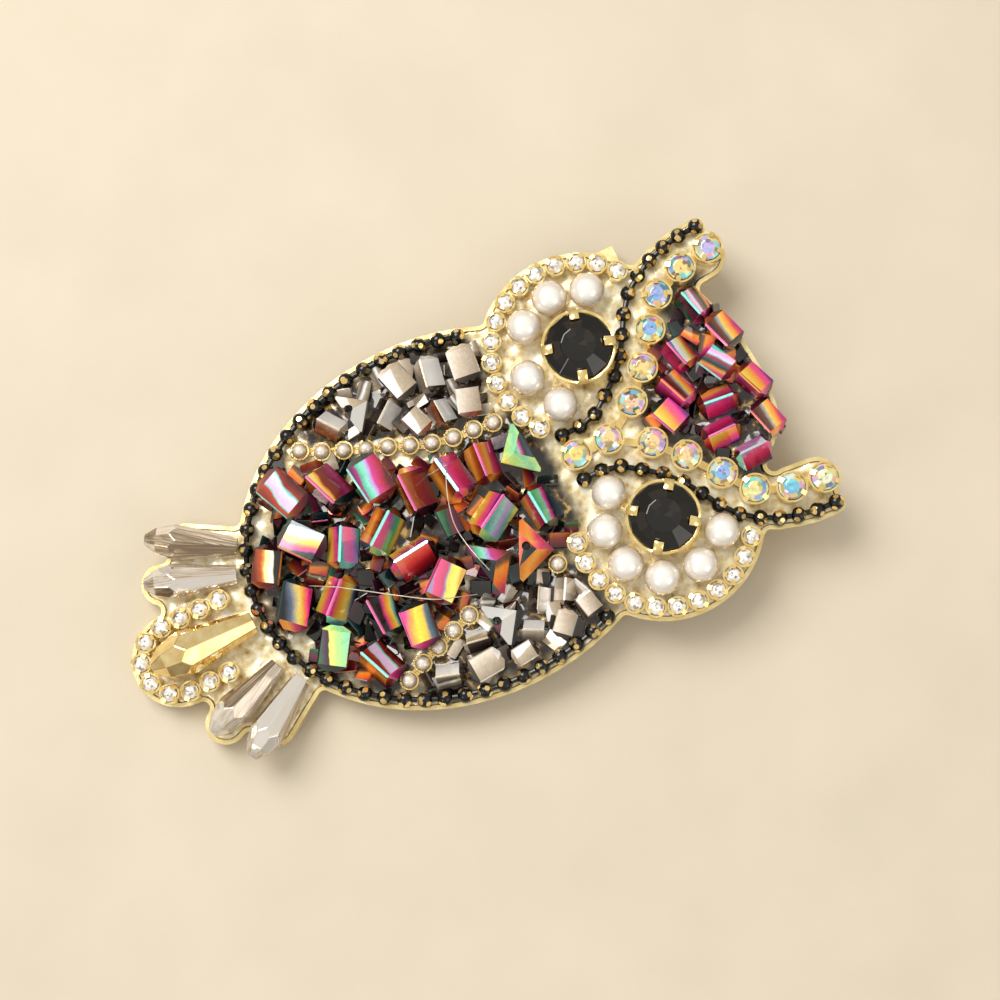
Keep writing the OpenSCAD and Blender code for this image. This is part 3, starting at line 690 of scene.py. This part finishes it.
def beadAxis(faces):
    # the three widest sides lie round the bead's own axis
    widest = sorted(faces, key=lambda f: -f.calc_area())[:3]
    axis = widest[0].normal.cross(widest[1].normal)
    if axis.length < beadLook["skew"]:
        axis = widest[0].normal.cross(widest[2].normal)
    axis.normalize()
    return axis if axis.dot(photoRight) > 0 else -axis


def chartFacet(face, axis, uv):
    # u runs over the facet to the picture's right or down, v along the bead
    along = axis - face.normal * axis.dot(face.normal)
    if along.length < beadLook["endOn"]:
        along = upSide - face.normal * upSide.dot(face.normal)
        if along.length < beadLook["upright"]:
            along = photoRight.copy()
    along.normalize()
    across = along.cross(face.normal)
    if across.dot(photoRight) + beadLook["downShare"] * across.dot(photoDown) < 0:
        across = -across
    us = [across.dot(v.co) for v in face.verts]
    vs = [along.dot(v.co) for v in face.verts]
    uSpan, vSpan = max(us) - min(us) or 1, max(vs) - min(vs) or 1
    for loop in face.loops:
        u, v = across.dot(loop.vert.co), along.dot(loop.vert.co)
        loop[uv].uv = ((u - min(us)) / uSpan, (v - min(vs)) / vSpan)


def makeBeads(name, node, rows, spare, slot):
    bm = copyFlats(node)
    words = [word for row in rows for word in row[2].split()]
    used = list(dict.fromkeys(words + spare))
    uv = bm.loops.layers.uv.new("facet")
    for part in looseParts(bm):
        middle = middleOf(part)
        row = min(rows, key=lambda r: (middle.x - r[0]) ** 2 + (middle.y - r[1]) ** 2)
        words = row[2].split()
        axis = beadAxis(part)
        seen = sorted(part, key=lambda f: -f.calc_area() * max(f.normal.dot(viewSide), 0))
        for place, face in enumerate(seen):
            chartFacet(face, axis, uv)
            word = words[place] if place < len(words) else spare[place % len(spare)]
            face.material_index = used.index(word)
    softenEdges(bm, beadLook["edge"])
    return finishPiece(name, bm, [coat(word) for word in used], [node])


bellyBeads = [  # place from above in millimetres, then a coat for each facet from the widest seen
    (-9.9, -15.5, "pinkStripe brownRed brownRed aqua brownRed"),
    (-8.3, -10.7, "goldEdge brownRed darkTeal magentaLine darkPlum"),
    (-7.0, -6.4, "tealRed brownRed darkTeal aqua"),
    (-3.9, -2.8, "brownRed orangeBrown darkPlum magentaLine orangeRose"),
    (-3.7, 1.2, "raspberry orangeBrown magentaDark aqua orangeRose"),
    (-3.9, 4.9, "orangeRose orangeBrown magentaLine orangeBrown brownRed"),
    (1.9, 3.4, "aquaLilac goldMagenta magentaLine mint orangeBrown"),
    (-4.4, -15.8, "skyGold darkTeal darkTeal goldMagenta darkPlum"),
    (-2.3, -12.1, "pinkAqua goldMagenta aqua aqua orangeBrown"),
    (-1.8, -7.7, "magentaTeal orangeBrown aqua mint darkPlum"),
    (2.4, -6.1, "coralRed goldMagenta magentaDark aqua darkPlum"),
    (-3.7, -20.3, "brickYellow brownRed darkPlum orangeBrown"),
    (1.3, -19.5, "greyGold orangeRose darkTeal magentaLine darkTeal"),
    (2.5, -15.1, "goldMiddle goldMagenta magentaLine aqua orangeBrown"),
    (7.3, -17.7, "mintDark darkTeal mint darkPlum"),
    (6.3, -11.4, "darkGold darkTeal darkTeal magentaLine darkPlum"),
    (10.7, -13.8, "pinkStripe orangeBrown magentaDark aqua brownRed"),
    (8.9, -8.5, "pinkGold magentaDark darkTeal magentaLine"),
    (6.1, -4.0, "roseYellow brownRed darkPlum raspberry"),
    (3.3, 8.5, "greenRose orangeRose darkTeal aqua brownRed"),
    (6.8, 1.5, "orangeDark tealRed darkTeal orangeBrown darkPlum"),
    (6.6, 5.3, "orangeBrown orangeRose darkTeal coralRed darkPlum"),
    (-6.0, -13.1, "darkTeal darkPlum magentaDark"),
    (3.0, -9.3, "darkTeal greenPlum darkPlum"),
    (8.4, -5.6, "darkPlum brownRed darkTeal"),
    (0.6, -1.0, "greenPlum darkTeal darkPlum"),
]
leftWingBeads = [
    (-14.5, -7.9, "rosySmoke whiteSilver taupe smoke taupe"),
    (-14.5, -4.6, "whiteSilver whiteTaupe taupe smoke"),
    (-13.1, -2.1, "whiteSilver smoke taupe smoke taupe"),
    (-15.3, 0.5, "whiteTaupe smoke taupe smoke"),
    (-14.7, 3.9, "whiteSilver taupe smoke taupe whiteSilver"),
    (-14.0, 7.6, "taupe smoke taupe whiteSilver"),
    (-10.7, 0.5, "whiteTaupe rosySmoke smoke rosySmoke"),
    (-10.5, 3.3, "whiteSilver rosySmoke taupe smoke greenPlum"),
    (-10.2, 6.4, "taupe rosySmoke smoke whiteSilver"),
]
rightWingBeads = [
    (14.9, -8.1, "greyGlint whiteSilver taupe smoke whiteSilver"),
    (15.6, -4.0, "taupe whiteTaupe smoke whiteSilver"),
    (13.0, -3.7, "smoke whiteTaupe taupe smoke"),
    (12.5, -0.3, "whiteSilver whiteSilver greenPlum taupe"),
    (16.3, 0.1, "whiteTaupe taupe smoke whiteSilver"),
    (14.5, 2.0, "taupe whiteSilver taupe smoke"),
    (11.8, 4.0, "whiteSilver smoke taupe taupe smoke"),
    (12.1, 6.9, "taupe taupe whiteSilver smoke"),
    (15.4, 5.2, "taupe smoke taupe whiteSilver"),
    (14.6, 8.4, "taupe smoke whiteSilver taupe"),
]
foreheadBeads = [
    (-9.0, 32.2, "pinkOverDark greenPlum magentaDark aqua darkPlum"),
    (-5.0, 33.7, "brownGold darkPlum brownRed magentaLine brownRed"),
    (-4.9, 28.5, "whiteGold raspberry orangeRose magentaLine darkPlum"),
    (-2.1, 31.4, "pinkOverDark brownRed magentaDark aqua"),
    (1.2, 34.3, "goldMagenta raspberry magentaDark orangeBrown brownRed"),
    (-1.6, 26.5, "brownGold magentaDark magentaLine orangeRose darkPlum"),
    (1.4, 29.9, "raspberry orangeRose aqua coralRed brownRed"),
    (0.8, 24.6, "goldMagenta darkPlum darkTeal magentaLine"),
    (4.6, 28.7, "goldMagenta raspberry magentaLine orangeBrown coralRed"),
    (5.3, 33.7, "brownGold orangeRose darkPlum coralRed"),
    (8.0, 30.8, "raspberry pinkAqua magentaDark aqua darkPlum"),
]
beakBead = [(-3.0, 8.3, "mint mint greenRose brownRed")]
greySides = ["smoke", "taupe", "smoke"]
glassRows = [  # piece, node, beads, coats for the facets that a row leaves out, slot
    ("bellyGlass", "belly_beads", bellyBeads, ["darkTeal", "brownRed", "darkPlum"], "belly_glass"),
    ("leftWingGlass", "wing_beads_left", leftWingBeads, greySides, "silver_glass"),
    ("rightWingGlass", "wing_beads_right", rightWingBeads, greySides, "silver_glass"),
    ("foreheadGlass", "forehead_beads", foreheadBeads, ["brownRed", "darkPlum", "magentaDark"],
     "forehead_glass"),
    ("beakGlass", "beak", beakBead, ["darkTeal"], "beak_glass"),
]
glassPieces = [makeBeads(*row) for row in glassRows]
print("beads made")

stoneLook = {"seed": 11, "sharpest": 12, "smallEdge": 0.03, "browEdge": 0.04, "eyeEdge": 0.05}


def makeStones(name, node, material, edge, start=stoneLook["seed"]):
    # each stone gets a round map over its table and a number of its own
    bm = copyFlats(node)
    draw = random.Random(start)
    uv = bm.loops.layers.uv.new("facet")
    seed = bm.faces.layers.float.new("seed")
    for part in looseParts(bm):
        table = max(part, key=lambda f: f.calc_area() * f.normal.z)
        middle = middleOf(part)
        sideways = table.normal.cross(Vector((0, 1, 0))).normalized()
        forward = table.normal.cross(sideways)
        reach = max((v.co - middle).length for f in part for v in f.verts)
        turn = draw.uniform(0, math.pi)
        cos, sin = math.cos(turn), math.sin(turn)
        number = draw.random()
        for face in part:
            face[seed] = number
            for loop in face.loops:
                gap = loop.vert.co - middle
                a, b = gap.dot(sideways) / reach / 2, gap.dot(forward) / reach / 2
                loop[uv].uv = (0.5 + a * cos - b * sin, 0.5 + a * sin + b * cos)
    softenEdges(bm, edge, stoneLook["sharpest"])
    return finishPiece(name, bm, [material], [node])


for side in ("left", "right"):
    makeStones("ringStones_" + side, "ring_stones_" + side, clearStone,
               stoneLook["smallEdge"])
    makeStones("eyeStone_" + side, "eye_stone_" + side, blackStone,
               stoneLook["eyeEdge"])
makeStones("tailStones", "tail_stones", clearStone, stoneLook["smallEdge"])
for number in range(1, 15):
    makeStones("browStone_%d" % number, "brow_stone_%d" % number, rainbowStone,
               stoneLook["browEdge"], stoneLook["seed"] + number)
print("stones made")

dropLook = {"edge": 0.06, "sharpest": 8}


def makeDrop(name, node, material):
    # a long stone: the map runs along it, with a number of its own for each facet
    bm = copyFlats(node)
    uv = bm.loops.layers.uv.new("facet")
    seed = bm.faces.layers.float.new("seed")
    draw = random.Random(node)
    middle = middleOf(bm.faces)
    tip = max(bm.verts, key=lambda v: (v.co - middle).length).co.copy()
    for face in bm.faces:
        face[seed] = draw.random()
        chartFacet(face, (middle - tip).normalized(), uv)
    softenEdges(bm, dropLook["edge"], dropLook["sharpest"])
    return finishPiece(name, bm, [material], [node])


makeDrop("goldDrop", "gold_drop", goldDropGlass)
for number in range(1, 5):
    makeDrop("tailDrop_%d" % number, "tail_drop_%d" % number, champagneGlass)
print("drops made")

pearlLook = {"meridians": 32, "seedMeridians": 20, "smooth": 60}


def makeRounds(name, node, material, meridians):
    # smooth balls in the place of the node's round parts
    part = copyNode(node)
    bm = bmesh.new()
    for faces in looseParts(part):
        xs = [v.co.x for f in faces for v in f.verts]
        bmesh.ops.create_uvsphere(
            bm, u_segments=meridians, v_segments=meridians * 3 // 4,
            radius=(max(xs) - min(xs)) / 2, matrix=Matrix.Translation(middleOf(faces)))
    part.free()
    return finishPiece(name, bm, [material], [node], smooth=pearlLook["smooth"])


pearlPieces = []
for node in sorted(nodes):
    if node.startswith("pearl_"):
        pearlPieces.append(makeRounds(
            node.replace("_", "", 1), node, pearlSkin, pearlLook["meridians"]))
for side in ("left", "right"):
    pearlPieces.append(makeRounds("seedPearls_" + side, "seed_pearls_" + side, seedSkin,
                                  pearlLook["seedMeridians"]))
print("pearls made")

granuleLook = {"count": 11, "radius": 0.2, "ring": 0.93, "drop": 0.3, "smooth": 80}


def makeGranules(name, seedNode, look):
    # a ring of small gold grains round every seed pearl
    part = copyNode(seedNode)
    bm = bmesh.new()
    draw = random.Random(name)
    for faces in looseParts(part):
        middle = middleOf(faces)
        start = draw.uniform(0, 1)
        for k in range(look["count"]):
            turn = 2 * math.pi * (k + start) / look["count"]
            place = middle + Vector((math.cos(turn), math.sin(turn), 0)) * look["ring"]
            place.z -= look["drop"]
            bmesh.ops.create_icosphere(bm, subdivisions=1, radius=look["radius"],
                                       matrix=Matrix.Translation(place))
    part.free()
    return finishPiece(name, bm, [goldFlat], smooth=look["smooth"])


chipStops = [makeGranules("seedGrains_" + side, "seed_pearls_" + side, granuleLook)
             for side in ("left", "right")]  # what the chips of glass have to stay clear of
print("grains made")

ballLook = {
    "radius": 0.85, "linkRadius": 0.3, "linkSides": 10, "linkReach": 3.1, "cut": 0.93,
    "cutsLow": 3, "cutsHigh": 6, "seed": 5, "near": 0.12, "leastArea": 1.5, "smooth": 15,
}


def ballCentres(node, look):
    # every face of a ball points away from the ball's middle, so the middles are where the
    # faces' inward points crowd together
    part = copyNode(node)
    tree = KDTree(len(part.faces))
    spots = []
    for i, face in enumerate(part.faces):
        spots.append((face.calc_center_median() - face.normal * look["radius"], face.calc_area()))
        tree.insert(spots[i][0], i)
    part.free()
    tree.balance()
    votes = []
    for i, (spot, area) in enumerate(spots):
        near = tree.find_range(spot, look["near"])
        votes.append((sum(spots[j][1] for place, j, gap in near), i))
    centres = []
    for vote, i in sorted(votes, reverse=True):
        spot = spots[i][0]
        if vote < look["leastArea"]:
            break
        if all((spot - other).length > look["radius"] for other in centres):
            near = [spots[j] for place, j, gap in tree.find_range(spot, look["near"])]
            total = sum(area for place, area in near)
            centres.append(sum((place * area for place, area in near), Vector()) / total)
    return centres


def cutBall(draw, look):
    # one ball with a few small flats cut on its upper side, which show the gold
    bm = bmesh.new()
    bmesh.ops.create_icosphere(bm, subdivisions=3, radius=look["radius"])
    for k in range(draw.randint(look["cutsLow"], look["cutsHigh"])):
        side = Vector((draw.uniform(-1, 1), draw.uniform(-1, 1), draw.uniform(0.1, 1.0)))
        side.normalize()
        cut = bmesh.ops.bisect_plane(
            bm, geom=bm.verts[:] + bm.edges[:] + bm.faces[:],
            plane_co=side * look["radius"] * look["cut"], plane_no=side, clear_outer=True)
        edges = [e for e in cut["geom_cut"] if isinstance(e, bmesh.types.BMEdge)]
        for face in bmesh.ops.holes_fill(bm, edges=edges, sides=0)["faces"]:
            face.material_index = 1
    return bm


def addMesh(whole, part):
    mesh = toMesh("work", part)
    whole.from_mesh(mesh)
    bpy.data.meshes.remove(mesh)


def makeBallChain(name, node, look):
    centres = ballCentres(node, look)
    draw = random.Random(look["seed"])
    whole = bmesh.new()
    for centre in centres:
        ball = cutBall(draw, look)
        bmesh.ops.translate(ball, vec=centre, verts=ball.verts)
        addMesh(whole, ball)
    for i, first in enumerate(centres):
        for second in centres[i + 1:]:
            gap = second - first
            if gap.length < look["radius"] * look["linkReach"]:
                turn = gap.to_track_quat("Z", "Y").to_matrix().to_4x4()
                bmesh.ops.create_cone(
                    whole, cap_ends=True, segments=look["linkSides"], radius1=look["linkRadius"],
                    radius2=look["linkRadius"], depth=gap.length,
                    matrix=Matrix.Translation((first + second) / 2) @ turn)
    print(name, len(centres), "balls")
    return finishPiece(name, whole, [blackLacquer, goldFlat], [node],
                       smooth=look["smooth"])


for name, node in (("bodyBalls", "body_balls"), ("browBalls_left", "brow_balls_left"),
                   ("browBalls_right", "brow_balls_right")):
    chipStops.append(makeBallChain(name, node, ballLook))
print("ball chains made")

settingLook = {"edge": 0.11, "sharpest": 35.0, "smooth": 55}


def makeSetting(name, node, look):
    # the prongs' edges are rolled over a little, so that they catch the light
    bm = copyFlats(node)
    softenEdges(bm, look["edge"], look["sharpest"])
    return finishPiece(name, bm, [goldSetting], [node], smooth=look["smooth"])


def dress(node, material):
    data = nodes[node].data
    data.materials.clear()
    data.materials.append(material)


for node in ("ring_cups_left", "ring_cups_right", "brow_cups", "tail_cups", "seed_cups_left",
             "seed_cups_right"):
    dress(node, goldSetting)
for side in ("left", "right"):
    makeSetting("eyeSetting_" + side, "eye_setting_" + side, settingLook)
dress("pin_back", goldPlate)
print("settings dressed")

chipLook = {  # tried on a grid, and kept where they are clear of the stones and of each other
    "step": 1.25, "shake": 0.4, "clear": 0.45, "reach": 2.1, "apart": 0.95, "length": (1.5, 2.5),
    "radius": (0.7, 1.1), "sink": 0.35, "tip": 0.12, "cut": 0.1,
}
darkChips = ["darkTeal", "darkPlum", "brownRed", "deepGlass", "greenPlum", "deepGlass",
             "orangeDark"]
greyChips = ["smoke", "smoke", "taupe", "greyGlint", "whiteTaupe"]


def surfaceTree(pieces):
    points, polygons = [], []
    for piece in pieces:
        start = len(points)
        points += [v.co / mm for v in piece.data.vertices]
        polygons += [[start + i for i in face.vertices] for face in piece.data.polygons]
    return BVHTree.FromPolygons(points, polygons)


def heightOver(tree, x, y):
    place = tree.ray_cast(Vector((x, y, meshLook["castFrom"])), Vector((0, 0, -1)))[0]
    return place.z if place else None


bedTree = surfaceTree([nodes["resin_bed"]])
stopTree = surfaceTree(glassPieces + pearlPieces + chipStops + [
    nodes[name] for name in nodes if "cups" in name or "setting" in name])


def chipShape(spot, roll, turn, tip, look):
    return (Matrix.Translation(spot) @ Matrix.Rotation(turn, 4, "Z")
            @ Matrix.Rotation(tip * look["tip"], 4, "Y") @ Matrix.Rotation(math.pi / 2, 4, "Y")
            @ Matrix.Rotation(roll, 4, "Z"))


def makeChips(name, field, words):
    # small three-sided chips of glass on the bed, wherever the beads leave a gap
    look = chipLook
    draw = random.Random(name)
    near = surfaceTree([field])
    places = [v.co / mm for v in field.data.vertices]
    xs, ys = [place.x for place in places], [place.y for place in places]
    bm = bmesh.new()
    uv = bm.loops.layers.uv.new("facet")
    taken = []
    y = min(ys)
    while y < max(ys):
        x = min(xs)
        while x < max(xs):
            spot = Vector((x + draw.uniform(-look["shake"], look["shake"]),
                           y + draw.uniform(-look["shake"], look["shake"]), 0))
            x += look["step"]
            length, radius = draw.uniform(*look["length"]), draw.uniform(*look["radius"])
            roll, turn, tip = [draw.uniform(-math.pi, math.pi) for k in range(3)]
            word = draw.choice(range(len(words)))
            base = heightOver(bedTree, spot.x, spot.y)
            if base is None:
                continue
            spot.z = base + radius * look["sink"]
            blocked = stopTree.find_nearest(spot)[3] < look["clear"]
            far = near.find_nearest(spot)[3] > look["reach"]
            if blocked or far or any(
                    (spot - other).length < look["step"] * look["apart"] for other in taken):
                continue
            taken.append(spot)
            shape = chipShape(spot, roll, turn, tip, look)
            made = bmesh.ops.create_cone(bm, cap_ends=True, segments=3, radius1=radius,
                                         radius2=radius, depth=length, matrix=shape)
            axis = shape.to_3x3() @ Vector((0, 0, 1))
            for face in {face for v in made["verts"] for face in v.link_faces}:
                face.normal_update()
                chartFacet(face, axis, uv)
                face.material_index = word
        y += look["step"]
    softenEdges(bm, look["cut"])
    print(name, len(taken), "chips")
    return finishPiece(name, bm, [coat(word) for word in words])


chipRows = [  # one for each field of beads, in the order of glassPieces; the beak has none
    ("bellyChips", darkChips, "belly_glass"),
    ("leftWingChips", greyChips, "silver_glass"),
    ("rightWingChips", greyChips, "silver_glass"),
    ("foreheadChips", darkChips, "forehead_glass"),
]
chipPieces = [makeChips(name, field, words)
              for (name, words, slot), field in zip(chipRows, glassPieces)]
print("chips made")

threadLook = {"radius": 0.055, "lift": 0.1, "sides": 6, "step": 0.35, "pulls": 60, "bends": 6,
              "smooth": 50}
threadPaths = [
    [(-4.2, 0.9), (-1.4, -0.3), (1.8, -0.9), (5.8, 0.0), (7.5, 0.6)],
    [(-0.1, -17.2), (3.6, -11.5), (7.7, -5.5), (8.6, -1.3)],
    [(-5.0, -1.0), (-4.4, 0.4), (-4.8, 1.6)],
]


def threadLine(path, tree, look):
    # points along the path, laid on what is under them and then pulled taut
    places = []
    for a, b in zip(path, path[1:]):
        count = max(2, int(math.dist(a, b) / look["step"]))
        for k in range(count):
            t = k / count
            x, y = a[0] + (b[0] - a[0]) * t, a[1] + (b[1] - a[1]) * t
            places.append(Vector((x, y, heightOver(tree, x, y) + look["lift"])))
    for turn in range(look["pulls"]):
        for i in range(1, len(places) - 1):
            places[i].z = max(places[i].z, (places[i - 1].z + places[i + 1].z) / 2)
    for turn in range(look["bends"]):
        for i in range(1, len(places) - 1):
            flat = (places[i - 1] + places[i + 1]) / 2
            places[i].x, places[i].y = flat.x, flat.y
    return places


def makeThreads(paths, look):
    tree = surfaceTree(glassPieces + chipPieces + [nodes["resin_bed"]])
    bm = bmesh.new()
    count = look["sides"]
    for path in paths:
        places = threadLine(path, tree, look)
        rings = []
        for i, place in enumerate(places):
            way = (places[min(i + 1, len(places) - 1)] - places[max(i - 1, 0)]).normalized()
            turn = way.to_track_quat("Z", "Y")
            angles = [2 * math.pi * k / count for k in range(count)]
            rings.append([bm.verts.new(place + turn @ Vector((
                math.cos(angle) * look["radius"], math.sin(angle) * look["radius"], 0)))
                for angle in angles])
        for first, second in zip(rings, rings[1:]):
            for k in range(count):
                after = (k + 1) % count
                bm.faces.new((first[k], first[after], second[after], second[k]))
        bm.faces.new(list(reversed(rings[0])))
        bm.faces.new(rings[-1])
    bmesh.ops.recalc_face_normals(bm, faces=bm.faces)
    return finishPiece("nylonThreads", bm, [nylonThread()],
                       smooth=look["smooth"])


makeThreads(threadPaths, threadLook)
print("threads made")

glueLook = {
    "voxel": 0.26, "upward": 0.3, "climb": 0.28, "reach": 0.55, "ripple": 0.09, "sink": 0.4,
    "rippleSize": 1.1, "smooth": 50,
    "shadeBase": 1.75, "shadeReach": 1.5,  # painted shade: dark between the beads, bright gold away from them
}


def makeGlue(look):
    # the bed's own form, remeshed, with a wet edge that climbs the pieces set in it, and painted
    # shade near the beads
    mesh = toMesh("work", copyNode("resin_bed"))
    shell = bpy.data.objects.new("work", mesh)
    scene.collection.objects.link(shell)
    remesh = shell.modifiers.new("voxels", "REMESH")
    remesh.mode = "VOXEL"
    remesh.voxel_size = look["voxel"]
    bpy.context.view_layer.update()
    bm = bmesh.new()
    bm.from_mesh(shell.evaluated_get(bpy.context.evaluated_depsgraph_get()).data)
    bpy.data.objects.remove(shell)
    bpy.data.meshes.remove(mesh)
    beads = surfaceTree(glassPieces)
    setPieces = surfaceTree(glassPieces + pearlPieces)
    # painted shade: 1 beside the beads, fading to 0 away from them
    shade = bm.verts.layers.float.new("shade")
    bm.normal_update()
    for v in bm.verts:
        gap = beads.find_nearest(v.co)[3]
        v[shade] = max(0.0, min(1.0, look["shadeBase"] - gap / look["shadeReach"]))
        if v.normal.z > look["upward"]:
            gap = setPieces.find_nearest(v.co)[3]
            climb = look["climb"] * math.exp(-(gap / look["reach"]) ** 2)
            ripple = look["ripple"] * noise.noise(v.co / look["rippleSize"])
            v.co.z += climb + ripple - look["ripple"] * look["sink"]
    return finishPiece("glueBed", bm, [clearGlue(foilLook)], ["resin_bed"],
                       smooth=look["smooth"])


makeGlue(glueLook)
print("glue made")
